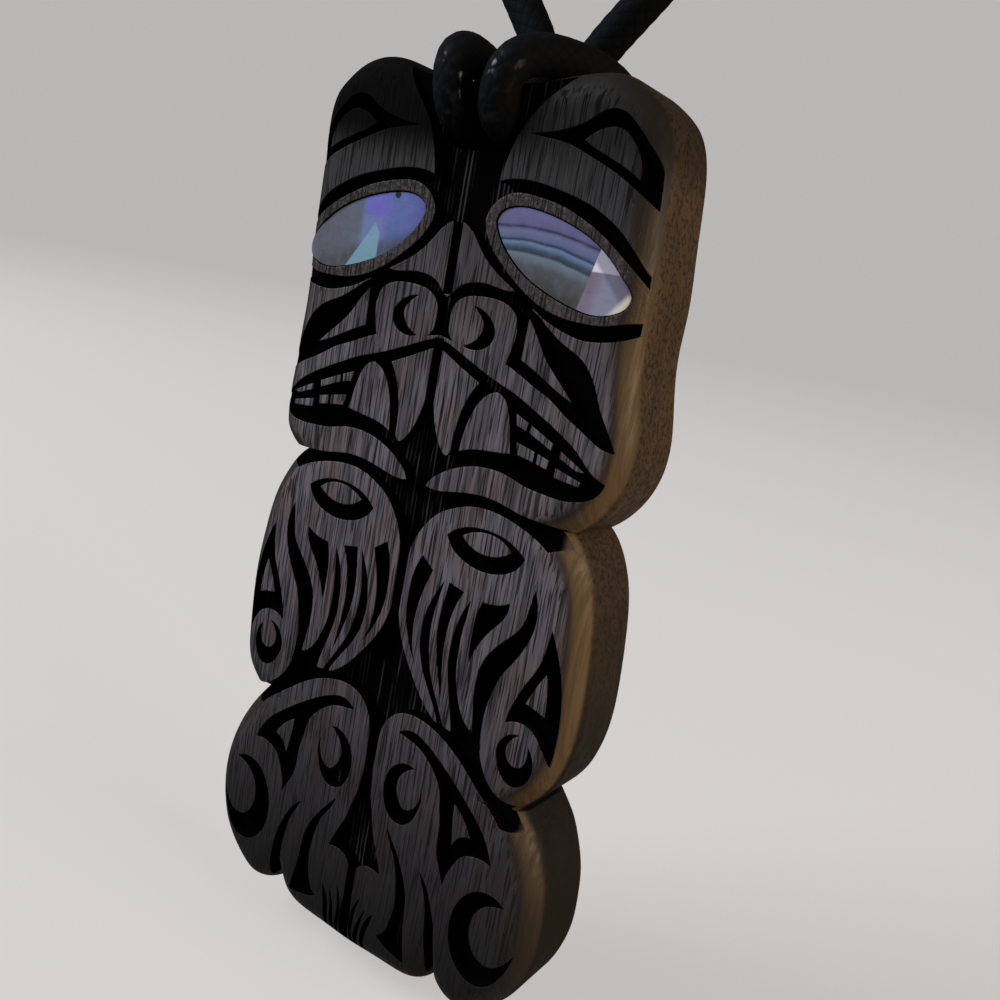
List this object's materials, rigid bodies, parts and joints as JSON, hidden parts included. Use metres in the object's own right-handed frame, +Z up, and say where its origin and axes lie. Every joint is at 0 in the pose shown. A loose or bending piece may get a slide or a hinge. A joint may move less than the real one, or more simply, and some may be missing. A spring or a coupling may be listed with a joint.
{
  "type": "pendant_necklace",
  "caption": "Carved wooden bear pendant with shell eyes, hung by a hitch on a waxed round cord that closes in a loop at the nape of the neck",
  "frame": {"origin": "nape of the neck, where the closing knot rests, with the loop in front of it and below it", "axes": "+X across to the right seen from the front, -Y forward, the way the carved face looks, +Z up"},
  "size_m": [0.126, 0.1398, 0.2152],
  "materials": {
    "carved_wood": "oiled, dark",
    "shell": "polished shell",
    "cord": "waxed braid"
  },
  "bodies": {
    "root": {"pendant_body": "carved_wood", "eye_inlay_left": "shell", "eye_inlay_right": "shell", "neck_cord": "cord", "closing_knot": "cord"}
  },
  "joints": []
}
